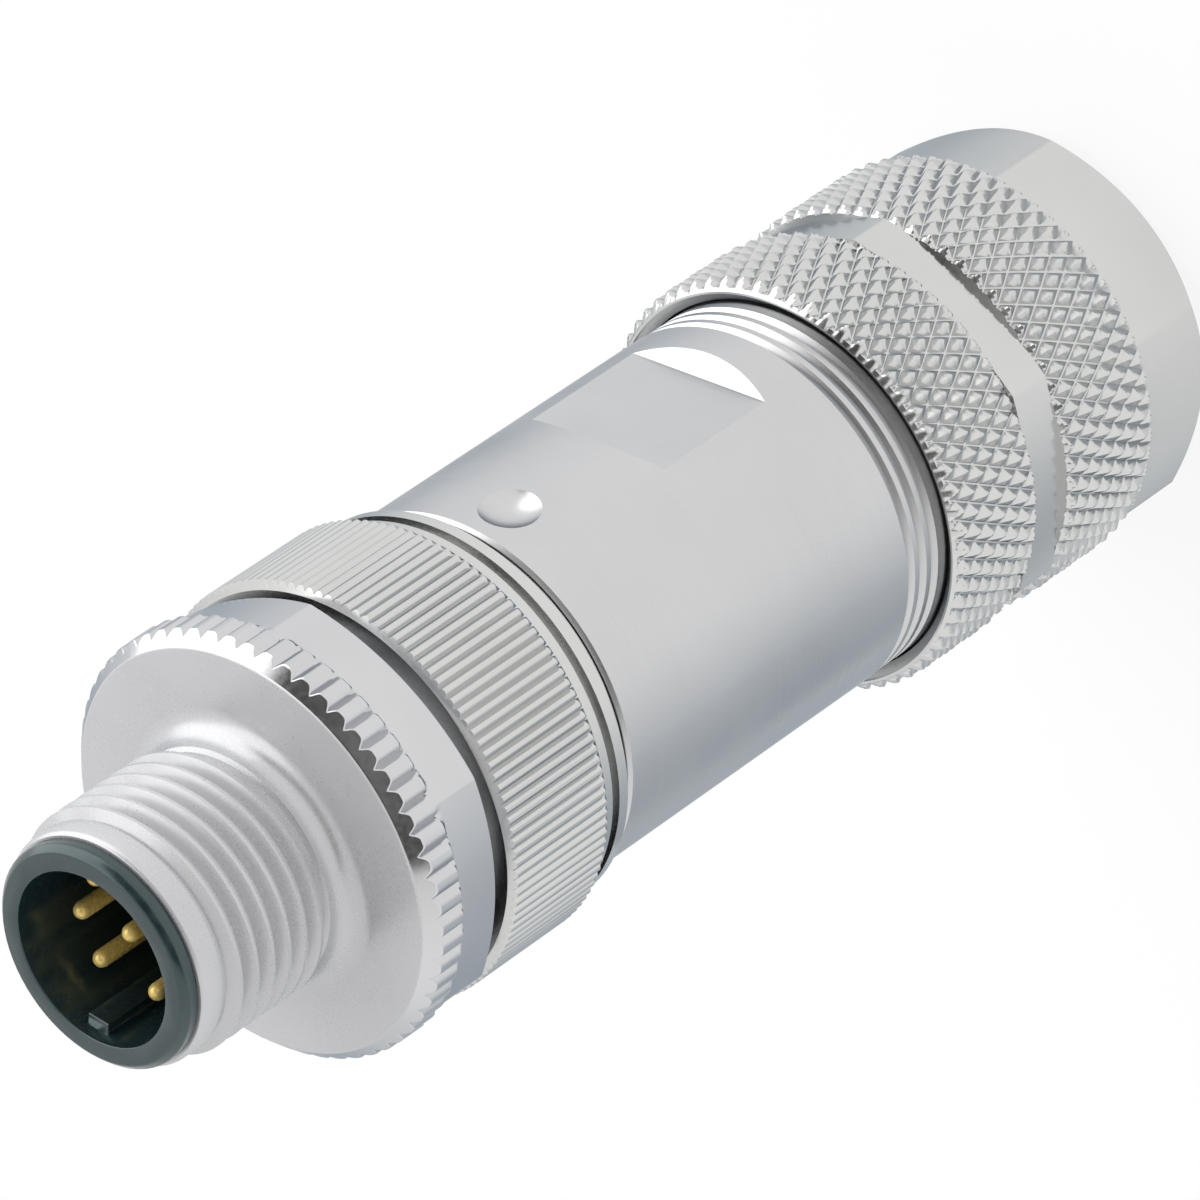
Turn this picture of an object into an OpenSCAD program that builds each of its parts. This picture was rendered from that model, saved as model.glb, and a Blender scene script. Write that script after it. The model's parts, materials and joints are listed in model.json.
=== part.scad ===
// Shielded M12 circular connector, cable plug with eight pins.
// The plug stands on its cable end: +Z is the plug's axis, towards the pins.
// All sizes are millimetres, and every level below is counted up from the cable end.

/* [Lengths along the axis] */
// Hexagonal rear end of the thrust nut
nut_end_len = 5.1; // [3.6:0.1:6]
// Rear knurled band of the thrust nut
nut_rear_knurl_len = 6.1; // [4.5:0.1:8]
// Spanner groove between the two knurled bands
nut_groove_len = 2.25; // [1.6:0.05:3]
// Front knurled band of the thrust nut, with its chamfer
nut_front_knurl_len = 5.65; // [5.2:0.05:8]
// Thread left showing between the nut and the sleeve
open_thread_len = 2.3; // [2.1:0.1:4]
// Smooth body of the housing sleeve
sleeve_len = 18.9; // [18:0.1:26]
// Ribbed collar behind the fine knurl of the front ring
collar_len = 2.4; // [1.8:0.1:3.6]
// Fine knurled band of the front ring
front_knurl_len = 6.3; // [5:0.1:9]
// Open gap between the front ring and the coupling screw
ring_gap = 0.7; // [0.5:0.05:1.5]
// Flange of the coupling screw, from its hexagon to its face
flange_len = 4.75; // [4.2:0.05:6]
// Coupling screw in front of its flange face
thread_neck_len = 9.05; // [7.5:0.05:12]
// Lip of the contact carrier in front of the coupling screw
lip_len = 0.8; // [0.5:0.05:1.2]

/* [Radii] */
// Radius of the housing sleeve
sleeve_r = 9; // [8.9:0.05:9.5]
// How far the toothed flange stands out from the sleeve
flange_step = 1.15; // [0.7:0.05:2.4]
// How far the fine knurled band of the front ring stands out from the sleeve
front_ring_step = 0.98; // [0.6:0.02:2]
// How far the knurled bands of the thrust nut stand out from the sleeve
nut_step = 1.1; // [1:0.05:2.4]
// Wall of the coupling screw, from its bore to the crest of its thread
screw_wall = 1; // [0.9:0.05:1.2]
// How far the smooth collar lies below the crest of the thread
lead_in_step = 0.4; // [0.3:0.05:0.5]
// Wall of the contact carrier round its mating cavity
carrier_wall = 0.65; // [0.55:0.05:0.75]

/* [Teeth and hexagons] */
// Teeth round the coupling screw
flange_teeth = 60; // [40:2:72]
// Depth of the teeth on the coupling screw
flange_tooth_depth = 0.36; // [0.2:0.02:0.5]
// Length of the teeth on the coupling screw, behind the chamfer
flange_tooth_len = 1.6; // [1.2:0.05:2]
// Flutes round the front ring
front_ring_teeth = 120; // [60:2:150]
// Depth of the flutes on the front ring
front_tooth_depth = 0.22; // [0.1:0.02:0.35]
// Drop of the faces below the corners on the coupling screw and in the spanner groove
hexagon_drop = 0.6; // [0.4:0.05:0.9]
// Drop of the faces below the corners on the hexagonal end
end_hexagon_drop = 0.7; // [0.4:0.05:0.9]
// Turn of the coupling screw's hexagon about the axis, in degrees
coupling_turn = 27; // [0:1:59]
// Turn of the spanner groove's hexagon about the axis, in degrees
groove_turn = 29; // [0:1:59]
// Turn of the hexagonal end about the axis, in degrees
end_turn = 21; // [0:1:59]

/* [Sleeve] */
// Depth of the two spanner flats
flat_depth = 0.8; // [0.5:0.05:0.9]
// Length of the spanner flats at their bottom
flat_len = 6.8; // [5:0.1:9]
// Rear end of the spanner flats above the rear edge of the smooth body
flat_start = 2.7; // [1.6:0.1:4]
// Width of the round dimple
dimple_w = 2.9; // [2:0.1:4]
// Depth of the round dimple
dimple_depth = 0.6; // [0.2:0.05:0.7]
// Dimple centre behind the front edge of the sleeve
dimple_set_back = 2.35; // [1.8:0.05:4]
// Direction of the dimple, in degrees from +X
dimple_turn = -97; // [-180:1:180]

/* [Contacts] */
// Radius of the circle of pins
pin_circle_r = 2.75; // [2.6:0.05:2.8]
// Diameter of a pin
pin_d = 0.8; // [0.6:0.05:1]
// Angle from one outer pin to the next, in degrees
pin_step = 48.5; // [45:0.5:51]
// How far the pin tips lie behind the lip
pin_recess = 2.1; // [1.5:0.05:3]
// Depth of the mating cavity
cavity_depth = 9; // [8:0.1:10]
// Radius of the mating cavity
cavity_r = 4.1; // [4:0.05:4.2]
// Width of the coding key
key_w = 1.15; // [0.8:0.05:1.3]
// Height of the coding key
key_h = 0.6; // [0.4:0.05:0.7]
// Direction of the coding key, in degrees from +X
key_turn = 81; // [0:1:359]

/* [Cable side] */
// Diameter of the cable opening in the nut
cable_hole_d = 8.5; // [7:0.1:9]
// Inner diameter of the cable seal
seal_hole_d = 7; // [5:0.1:7.6]
// Turns from the shown place to fully tightened, as travel along the axis
nut_travel = 1.8; // [1:0.1:2]

/* [Fits] */
// Radial play where one piece turns in another
turning_play = 0.05; // [0.03:0.01:0.1]
// Radial play of pieces that are pushed together
seat_play = 0.05; // [0.02:0.01:0.1]
// Gap between faces that meet along the axis
face_gap = 0.05; // [0.02:0.01:0.1]
// Radial play of a pin in its hole
pin_play = 0.02; // [0.01:0.01:0.04]

/* [Hidden] */
$fn = 96;
// Small overlap of joined shapes, and the length by which a cut runs past a face
EPS = 0.01;
OVER = 1;

nickel = [0.78, 0.78, 0.77];
satin_nickel = [0.72, 0.72, 0.73];
cast_nickel = [0.80, 0.80, 0.82];
gold = [0.85, 0.66, 0.25];
black_plastic = [0.10, 0.12, 0.13];
black_rubber = [0.05, 0.05, 0.05];
grey_plastic = [0.45, 0.46, 0.47];

// Outer radii
flange_r = sleeve_r + flange_step;
front_ring_r = sleeve_r + front_ring_step;
nut_r = sleeve_r + nut_step;
tube_r = cavity_r + carrier_wall;
screw_bore_r = tube_r + 0.15;
thread_r = screw_bore_r + screw_wall;
lead_in_r = thread_r - lead_in_step;

// Levels of the outer shape, from the cable end
groove_z = nut_end_len + nut_rear_knurl_len;
front_band_z = groove_z + nut_groove_len;
nut_len = front_band_z + nut_front_knurl_len;
sleeve_z = nut_len + open_thread_len;
collar_z = sleeve_z + sleeve_len;
front_knurl_z = collar_z + collar_len;
ring_face_z = front_knurl_z + front_knurl_len;
coupling_z = ring_face_z + ring_gap;
flange_face_z = coupling_z + flange_len;
lip_z = flange_face_z + thread_neck_len;
total_len = lip_z + lip_len;

// Thrust nut
cable_r = cable_hole_d / 2;
nut_wall = 3;
nut_cavity_r = sleeve_r - 1.4;
nut_seat_z = front_band_z + 0.35;
hex_groove_r = nut_r - 0.05;
hex_end_r = nut_r - 0.35;
end_face_r = hex_end_r - 1;
nut_chamfer = 0.5;
end_chamfer = 0.4;

// Rear of the sleeve, where the nut screws on
rear_thread_r = sleeve_r - 0.05;
nut_bore_r = rear_thread_r + turning_play + seat_play;
sleeve_rear_z = nut_seat_z + nut_travel + 0.3;
clamp_bore_r = sleeve_r - 1.1;
clamp_r = clamp_bore_r - 0.1;
flat_r = sleeve_r - flat_depth;
inner_bore_r = flat_r - 0.75;
shoulder_z = sleeve_z + 1.6;
spigot_z = collar_z - 7.6;

// Front ring, whose hub goes round the stem of the contact carrier
carrier_stem_r = pin_circle_r + pin_d / 2 + 1.15;
spigot_r = sleeve_r - 1.2;
front_bore_r = spigot_r + seat_play;
wiring_r = spigot_r - 1.2;
web_len = 5.1;
web_z = ring_face_z - web_len;
hub_r = carrier_stem_r + 2.1;
hub_len = 3.4;
hub_z = ring_face_z + hub_len;

// Rubber rings: the radius of the section, the level, and the depth and width of the groove
carrier_seal = 0.33;
carrier_seal_z = ring_face_z - 0.5;
carrier_groove = [0.7, 0.9];
coupling_seal = 0.31;
coupling_seal_z = ring_face_z + 1.8;
coupling_groove = [0.65, 0.8];
sleeve_seal = 0.36;
sleeve_seal_z = collar_z - 1.4;
sleeve_groove = [0.75, 0.9];

// Contact carrier
outer_pins = 7;
carrier_z = web_z - 2.4;
cavity_z = total_len - cavity_depth;
lip_r = lead_in_r - 0.25;
shoulder_pin_z = web_z + 2.6;
pin_r = pin_d / 2;
cup_r = pin_r + 0.2;
cup_z = carrier_z - 4.2;
pin_tip_z = total_len - pin_recess;

// Clamping pieces behind the shoulder of the sleeve
piece_gap = 0.1;
shield_ring_len = 2.1;
shield_cone_len = 1.8;
shield_ring_z = shoulder_z - piece_gap - shield_ring_len;
shield_cone_z = shield_ring_z - piece_gap - shield_cone_len;
cage_top_z = shield_cone_z - piece_gap;
cage_flange_len = cage_top_z - sleeve_rear_z - 0.3;
cage_ledge_len = 1.3;
cage_r = nut_cavity_r - 0.3;
ring_bore_r = cable_r + 0.35;
cage_bore_r = ring_bore_r + 0.7;
press_z = nut_wall;
press_base = 0.8;
press_slope = 0.68;
finger_gap = 0.35;
cage_tip_z = press_z + press_base + press_slope * (cage_bore_r - ring_bore_r) + nut_travel + finger_gap;

// A ring given by its two radii and its two levels
module tube(outer_r, inner_r, low, high) {
    translate([0, 0, low])
        difference() {
            cylinder(r = outer_r, h = high - low);
            translate([0, 0, -OVER])
                cylinder(r = inner_r, h = high - low + 2 * OVER);
        }
}

// A rubber ring of round section, and the groove that holds it below the given radius
module seal_ring(outer_r, section_r, level) {
    translate([0, 0, level])
        rotate_extrude()
            translate([outer_r - section_r - EPS, 0])
                circle(r = section_r, $fn = 32);
}

module seal_groove(outer_r, groove, level) {
    half_w = groove[1] / 2;
    tube(outer_r + OVER, outer_r - groove[0], level - half_w, level + half_w);
}

// Points of a toothed outline, with a crest at the given angle
function toothed(count, crest_r, depth, turn) =
    [for (i = [0 : 2 * count - 1])
        let (r = i % 2 == 0 ? crest_r : crest_r - depth, a = turn + i * 180 / count)
        [r * cos(a), r * sin(a)]];

// A hexagon with slightly crowned faces, as polygon turning leaves it
module crowned_hexagon(corner_r, drop, low, high, turn) {
    face_r = corner_r - drop;
    half_w = corner_r * sin(30);
    reach = corner_r * cos(30);
    shift = (face_r * face_r - reach * reach - half_w * half_w) / (2 * (reach - face_r));
    intersection_for (i = [0 : 5])
        rotate([0, 0, turn + 30 + 60 * i])
            translate([-shift, 0, low])
                cylinder(r = face_r + shift, h = high - low, $fn = 180);
}

// Die-cast coupling screw: thread, neck, toothed flange and hexagon
module coupling_screw() {
    front = lip_z - face_gap;
    rear = ring_face_z + 2 * face_gap;
    neck_r = thread_r - 0.2;
    neck_len = 0.5;
    fillet_r = 1.2;
    chamfer_w = 0.62;
    chamfer_len = 0.67;
    tooth_z = flange_face_z - chamfer_len - flange_tooth_len;
    tooth_bevel = 0.3;
    hexagon_r = flange_r - 0.05;
    hexagon_end_r = hexagon_r - hexagon_drop - 0.05;
    hexagon_bevel = 0.25;
    hub_bore_r = hub_r + turning_play;
    boss_r = flange_r - 1.95;
    lead_in_len = 1.1;
    lead_in_edge = 0.2;
    lead_in_bevel = 0.15;
    hub_gap = 0.3;
    thread_end_z = flange_face_z + fillet_r + neck_len;
    color(cast_nickel)
    difference() {
        union() {
            // Thread, with its lead-in and its relief
            translate([0, 0, front - lead_in_len - EPS])
                cylinder(r = lead_in_r, h = lead_in_len - lead_in_edge + EPS);
            translate([0, 0, front - lead_in_edge])
                cylinder(r1 = lead_in_r, r2 = lead_in_r - lead_in_bevel, h = lead_in_edge);
            translate([0, 0, thread_end_z - neck_len])
                cylinder(r = neck_r, h = neck_len + EPS);
            translate([0, 0, thread_end_z])
                cylinder(r = thread_r, h = front - lead_in_len - thread_end_z);
            // Fillet into the flange
            translate([0, 0, flange_face_z - EPS])
                rotate_extrude()
                    difference() {
                        square([neck_r + fillet_r, fillet_r + EPS]);
                        translate([neck_r + fillet_r, fillet_r + EPS])
                            circle(r = fillet_r, $fn = 64);
                    }
            // Teeth, cut off by the chamfer in front and bevelled behind
            intersection() {
                translate([0, 0, tooth_z])
                    linear_extrude(height = chamfer_len + flange_tooth_len)
                        polygon(toothed(flange_teeth, flange_r, flange_tooth_depth, coupling_turn));
                union() {
                    translate([0, 0, flange_face_z - chamfer_len])
                        cylinder(r1 = flange_r + EPS, r2 = flange_r - chamfer_w, h = chamfer_len);
                    translate([0, 0, tooth_z + tooth_bevel - EPS])
                        cylinder(r = flange_r + EPS, h = flange_tooth_len - tooth_bevel + 2 * EPS);
                    translate([0, 0, tooth_z])
                        cylinder(r1 = flange_r - tooth_bevel, r2 = flange_r + EPS, h = tooth_bevel);
                }
            }
            // Hexagon, bevelled at its corners
            intersection() {
                crowned_hexagon(hexagon_r, hexagon_drop, coupling_z, tooth_z + tooth_bevel, coupling_turn);
                union() {
                    translate([0, 0, coupling_z])
                        cylinder(r1 = hexagon_end_r, r2 = hexagon_r + EPS, h = hexagon_bevel);
                    translate([0, 0, coupling_z + hexagon_bevel - EPS])
                        cylinder(r = hexagon_r + EPS, h = tooth_z - coupling_z + tooth_bevel);
                }
            }
            translate([0, 0, rear])
                cylinder(r = boss_r, h = coupling_z - rear + OVER);
        }
        translate([0, 0, rear - OVER])
            cylinder(r = hub_bore_r, h = hub_z + hub_gap - rear + OVER);
        cylinder(r = screw_bore_r, h = front + OVER);
    }
}

// Angle of an outer pin: the wide gap between the first and the last faces the key
function outer_pin_angle(i) =
    key_turn + 180 + pin_step * (i - (outer_pins - 1) / 2);

// Place of pin number i: the outer circle first, then the middle
function pin_place(i) =
    i < outer_pins
        ? [pin_circle_r * cos(outer_pin_angle(i)), pin_circle_r * sin(outer_pin_angle(i)), 0]
        : [0, 0, 0];

// Moulded carrier: keyed mating cavity, lip and the block that holds the pins
module contact_carrier() {
    lip_chamfer = 0.3;
    key_recess = 0.6;
    cup_hole_len = shoulder_pin_z - carrier_z + pin_play;
    color(black_plastic)
    difference() {
        union() {
            translate([0, 0, carrier_z])
                cylinder(r = carrier_stem_r, h = hub_z - carrier_z + OVER);
            translate([0, 0, hub_z + face_gap])
                cylinder(r = tube_r, h = total_len - lip_chamfer - hub_z - face_gap);
            translate([0, 0, lip_z])
                cylinder(r = lip_r, h = lip_len - lip_chamfer);
            translate([0, 0, total_len - lip_chamfer])
                cylinder(r1 = lip_r, r2 = lip_r - lip_chamfer, h = lip_chamfer);
        }
        difference() {
            translate([0, 0, cavity_z])
                cylinder(r = cavity_r, h = cavity_depth + OVER);
            rotate([0, 0, key_turn])
                translate([cavity_r - key_h, -key_w / 2, cavity_z - OVER])
                    cube([key_h + carrier_wall, key_w, cavity_depth - key_recess + OVER]);
        }
        for (i = [0 : outer_pins])
            translate(pin_place(i)) {
                translate([0, 0, carrier_z - OVER])
                    cylinder(r = pin_r + pin_play, h = total_len - carrier_z, $fn = 32);
                translate([0, 0, carrier_z - OVER])
                    cylinder(r = cup_r + pin_play, h = cup_hole_len + OVER, $fn = 32);
            }
        seal_groove(carrier_stem_r, carrier_groove, carrier_seal_z);
    }
}

// A turned pin with a round nose in front and a solder cup behind
module contact_pin(i) {
    cup_bore_r = cup_r - 0.18;
    cup_depth = 3;
    cup_open_len = 2.2;
    color(gold)
    translate(pin_place(i))
        difference() {
            union() {
                translate([0, 0, shoulder_pin_z - OVER])
                    cylinder(r = pin_r, h = pin_tip_z - pin_r - shoulder_pin_z + OVER, $fn = 32);
                translate([0, 0, pin_tip_z - pin_r])
                    sphere(r = pin_r, $fn = 32);
                translate([0, 0, cup_z])
                    cylinder(r = cup_r, h = shoulder_pin_z - cup_z, $fn = 32);
            }
            translate([0, 0, cup_z - OVER])
                cylinder(r = cup_bore_r, h = cup_depth + OVER, $fn = 32);
            // The cup is open towards the outside
            rotate([0, 0, i < outer_pins ? outer_pin_angle(i) : key_turn])
                translate([0, -OVER, cup_z - OVER])
                    cube([2 * OVER, 2 * OVER, cup_open_len + OVER]);
        }
}

// Ring that holds the carrier against the front ring's hub
module carrier_lock_ring() {
    notch_w = 1;
    notch_depth = 0.6;
    notch_r = carrier_stem_r + 0.8;
    lock_r = wiring_r - 0.2;
    low = carrier_z + 0.4;
    high = web_z - face_gap;
    color(grey_plastic)
    difference() {
        tube(lock_r, carrier_stem_r + pin_play, low, high);
        // Two notches for the assembly key
        for (a = [0, 180])
            rotate([0, 0, a])
                translate([notch_r, -notch_w / 2, low - OVER])
                    cube([lock_r - notch_r + OVER, notch_w, notch_depth + OVER]);
    }
}

// Rubber rings on the carrier, on the hub and on the spigot
module carrier_seal_ring() {
    color(black_rubber) seal_ring(carrier_stem_r, carrier_seal, carrier_seal_z);
}

module coupling_seal_ring() {
    color(black_rubber) seal_ring(hub_r, coupling_seal, coupling_seal_z);
}

module sleeve_seal_ring() {
    color(black_rubber) seal_ring(spigot_r, sleeve_seal, sleeve_seal_z);
}

// Fine knurled front ring, with the hub, the ribbed collar and the spigot
module front_ring() {
    bevel_w = 0.7;
    bevel_len = 0.6;
    rear_bevel = 0.3;
    band_len = front_knurl_len - bevel_len - rear_bevel;
    rib_r = sleeve_r + 0.45;
    rib_w = 0.55;
    rib_step = collar_len / 2.4;
    neck_r = sleeve_r - 0.25;
    color(nickel)
    difference() {
        union() {
            // Knurled band
            intersection() {
                translate([0, 0, front_knurl_z])
                    linear_extrude(height = front_knurl_len)
                        polygon(toothed(front_ring_teeth, front_ring_r, front_tooth_depth, 0));
                union() {
                    translate([0, 0, ring_face_z - bevel_len])
                        cylinder(r1 = front_ring_r + EPS, r2 = front_ring_r - bevel_w, h = bevel_len);
                    translate([0, 0, front_knurl_z + rear_bevel - EPS])
                        cylinder(r = front_ring_r + EPS, h = band_len + 2 * EPS);
                    translate([0, 0, front_knurl_z])
                        cylinder(r1 = front_ring_r - rear_bevel, r2 = front_ring_r + EPS, h = rear_bevel);
                }
            }
            // Collar with two ribs
            translate([0, 0, collar_z + face_gap])
                cylinder(r = neck_r, h = collar_len);
            for (level = [1, 2])
                translate([0, 0, collar_z + level * rib_step - rib_w / 2])
                    cylinder(r = rib_r, h = rib_w);
            // Hub and spigot
            translate([0, 0, ring_face_z - OVER])
                cylinder(r = hub_r, h = hub_len + OVER);
            translate([0, 0, spigot_z])
                cylinder(r = spigot_r, h = collar_z - spigot_z + OVER);
        }
        cylinder(r = carrier_stem_r + seat_play, h = total_len);
        translate([0, 0, spigot_z - OVER])
            cylinder(r = wiring_r, h = web_z - spigot_z + OVER);
        seal_groove(hub_r, coupling_groove, coupling_seal_z);
        seal_groove(spigot_r, sleeve_groove, sleeve_seal_z);
    }
}

// One spanner flat, with shoulders that slope at 45 degrees
module flat_cutter() {
    slope = 2;
    low = sleeve_z + flat_start;
    translate([-sleeve_r, 0, 0])
        rotate([90, 0, 90])
            linear_extrude(height = 2 * sleeve_r)
                polygon([
                    [flat_r, low],
                    [flat_r + slope, low - slope],
                    [flat_r + slope, low + flat_len + slope],
                    [flat_r, low + flat_len]
                ]);
}

// Turned housing sleeve with two spanner flats, a dimple and a thread at the rear,
// whose grooves are drawn as far as they show in front of the nut
module housing_sleeve() {
    groove_w = 0.5;
    groove_depth = 0.3;
    groove_step = 0.8;
    first_groove = 0.25;
    open_grooves = 3;
    front_bevel = 0.15;
    ball_r = (dimple_w * dimple_w / 4 + dimple_depth * dimple_depth) / (2 * dimple_depth);
    rear_chamfer = 0.4;
    color(satin_nickel)
    difference() {
        union() {
            translate([0, 0, sleeve_z])
                cylinder(r = sleeve_r, h = sleeve_len - front_bevel);
            translate([0, 0, collar_z - front_bevel])
                cylinder(r1 = sleeve_r, r2 = sleeve_r - front_bevel, h = front_bevel);
            translate([0, 0, sleeve_rear_z + rear_chamfer])
                cylinder(r = rear_thread_r, h = sleeve_z - sleeve_rear_z - rear_chamfer + EPS);
            translate([0, 0, sleeve_rear_z])
                cylinder(r1 = rear_thread_r - rear_chamfer, r2 = rear_thread_r, h = rear_chamfer);
        }
        translate([0, 0, sleeve_rear_z - OVER])
            cylinder(r = clamp_bore_r, h = shoulder_z - sleeve_rear_z + OVER);
        translate([0, 0, sleeve_rear_z])
            cylinder(r = inner_bore_r, h = total_len);
        translate([0, 0, spigot_z - piece_gap])
            cylinder(r = front_bore_r, h = total_len);
        for (i = [0 : open_grooves - 1])
            translate([0, 0, sleeve_z - first_groove - groove_step * i])
                rotate_extrude()
                    polygon([
                        [rear_thread_r + groove_depth, -groove_w],
                        [rear_thread_r + groove_depth, groove_w],
                        [rear_thread_r - groove_depth, 0]
                    ]);
        for (side = [0, 180])
            rotate([0, 0, side])
                flat_cutter();
        rotate([0, 0, dimple_turn])
            translate([sleeve_r - dimple_depth + ball_r, 0, collar_z - dimple_set_back])
                sphere(r = ball_r);
    }
}

// Plastic sleeve that keeps the wires off the metal
module insulating_sleeve() {
    outer_r = inner_bore_r - seat_play;
    wall = 0.6;
    color(grey_plastic)
        tube(outer_r, outer_r - wall, shoulder_z + piece_gap, spigot_z - 2 * piece_gap);
}

// The cable's braid is folded over the cone and held by the ring
module shield_ring() {
    cone_len = 1.5;
    color(nickel)
    difference() {
        tube(clamp_r, ring_bore_r, shield_ring_z, shield_ring_z + shield_ring_len);
        translate([0, 0, shield_ring_z - EPS])
            cylinder(r1 = ring_bore_r + cone_len, r2 = ring_bore_r, h = cone_len);
    }
}

module shield_cone() {
    tip_len = 0.8;
    tip_r = ring_bore_r + 1.1;
    color(nickel)
    difference() {
        union() {
            translate([0, 0, shield_cone_z])
                cylinder(r = clamp_r, h = shield_cone_len - tip_len);
            translate([0, 0, shield_cone_z + shield_cone_len - tip_len - EPS])
                cylinder(r1 = tip_r + tip_len, r2 = tip_r, h = tip_len);
        }
        translate([0, 0, shield_cone_z - OVER])
            cylinder(r = ring_bore_r, h = shield_cone_len + 2 * OVER);
    }
}

// Cage whose slit fingers the nut presses round the rubber seal
module clamping_cage() {
    fingers = 8;
    slit_w = 1;
    slit_end_z = cage_top_z - cage_flange_len - 1.3;
    tip_rise = press_slope * (cage_r - cage_bore_r);
    color(grey_plastic)
    difference() {
        union() {
            translate([0, 0, cage_top_z - cage_flange_len])
                cylinder(r = clamp_r, h = cage_flange_len);
            translate([0, 0, cage_tip_z + tip_rise])
                cylinder(r = cage_r, h = cage_top_z - cage_tip_z - tip_rise - EPS);
            translate([0, 0, cage_tip_z])
                cylinder(r1 = cage_bore_r, r2 = cage_r, h = tip_rise);
        }
        cylinder(r = ring_bore_r, h = total_len);
        cylinder(r = cage_bore_r, h = cage_top_z - cage_ledge_len);
        for (i = [0 : fingers / 2 - 1])
            rotate([0, 0, 360 / fingers * (i + 0.5)])
                translate([-cage_r - OVER, -slit_w / 2, cage_tip_z - OVER])
                    cube([2 * (cage_r + OVER), slit_w, slit_end_z - cage_tip_z + OVER]);
    }
}

// Rubber bush round the cable
module cable_seal() {
    set_back = 0.8;
    color(black_rubber)
        tube(cage_bore_r - piece_gap, seal_hole_d / 2,
             cage_tip_z + set_back, cage_top_z - cage_ledge_len - piece_gap);
}

// Ring with a cone, which the nut carries against the fingers
module pressure_ring() {
    outer_r = nut_cavity_r - piece_gap;
    edge_r = outer_r - 0.4;
    edge_z = press_z + press_base + press_slope * (edge_r - ring_bore_r);
    color(nickel)
        rotate_extrude()
            polygon([
                [ring_bore_r, press_z + face_gap],
                [outer_r, press_z + face_gap],
                [outer_r, edge_z],
                [edge_r, edge_z],
                [ring_bore_r, press_z + press_base]
            ]);
}

// Thrust nut: knurled band, spanner groove, knurled band and hexagonal end
module thrust_nut() {
    end_bevel = 1.2;
    band_edge = 0.3;
    color(nickel)
    difference() {
        union() {
            intersection() {
                crowned_hexagon(hex_end_r, end_hexagon_drop, 0, nut_end_len + OVER, end_turn);
                union() {
                    cylinder(r1 = end_face_r, r2 = end_face_r + end_bevel, h = end_bevel);
                    translate([0, 0, end_bevel - EPS])
                        cylinder(r = hex_end_r + EPS, h = nut_end_len);
                }
            }
            translate([0, 0, nut_end_len])
                cylinder(r1 = nut_r - band_edge, r2 = nut_r, h = band_edge);
            translate([0, 0, nut_end_len + band_edge - EPS])
                cylinder(r = nut_r, h = nut_rear_knurl_len - 2 * band_edge + 2 * EPS);
            translate([0, 0, groove_z - band_edge])
                cylinder(r1 = nut_r, r2 = nut_r - band_edge, h = band_edge);
            crowned_hexagon(hex_groove_r, hexagon_drop, groove_z - OVER, front_band_z + OVER, groove_turn);
            translate([0, 0, front_band_z])
                cylinder(r1 = nut_r - band_edge, r2 = nut_r, h = band_edge);
            translate([0, 0, front_band_z + band_edge - EPS])
                cylinder(r = nut_r, h = nut_front_knurl_len - band_edge - nut_chamfer + EPS);
            translate([0, 0, nut_len - nut_chamfer])
                cylinder(r1 = nut_r, r2 = nut_r - nut_chamfer, h = nut_chamfer);
        }
        translate([0, 0, -OVER])
            cylinder(r = cable_r, h = nut_len + 2 * OVER);
        translate([0, 0, -EPS])
            cylinder(r1 = cable_r + end_chamfer, r2 = cable_r, h = end_chamfer);
        translate([0, 0, nut_wall])
            cylinder(r = nut_cavity_r, h = nut_len);
        translate([0, 0, nut_seat_z])
            cylinder(r = nut_bore_r, h = nut_len);
    }
}

coupling_screw();
contact_carrier();
contact_pin(0);  // contact_pin_1
contact_pin(1);  // contact_pin_2
contact_pin(2);  // contact_pin_3
contact_pin(3);  // contact_pin_4
contact_pin(4);  // contact_pin_5
contact_pin(5);  // contact_pin_6
contact_pin(6);  // contact_pin_7
contact_pin(7);  // contact_pin_8
carrier_lock_ring();
carrier_seal_ring();
coupling_seal_ring();
front_ring();
sleeve_seal_ring();
housing_sleeve();
insulating_sleeve();
shield_ring();
shield_cone();
clamping_cage();
cable_seal();
pressure_ring();
thrust_nut();
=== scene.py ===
# %% [markdown]
# # A shielded circular connector plug
#
# The plug is a stack of turned, cast and moulded pieces on one axis: a thrust nut at the cable end, a
# housing sleeve, a fluted front ring, a coupling screw and, inside it, a moulded carrier with gold pins.
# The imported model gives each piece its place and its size. This notebook gives them their surfaces. Most
# solids keep their own shape and only get a material. Four are made again as finer surfaces: the nut with
# its diamond knurl, the screw with its teeth and thread, the front ring with its flutes, and the carrier
# with its rounded lip.

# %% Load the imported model
import json
import math

import bmesh
import bpy
import numpy as np
from mathutils import Matrix, Vector


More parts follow.
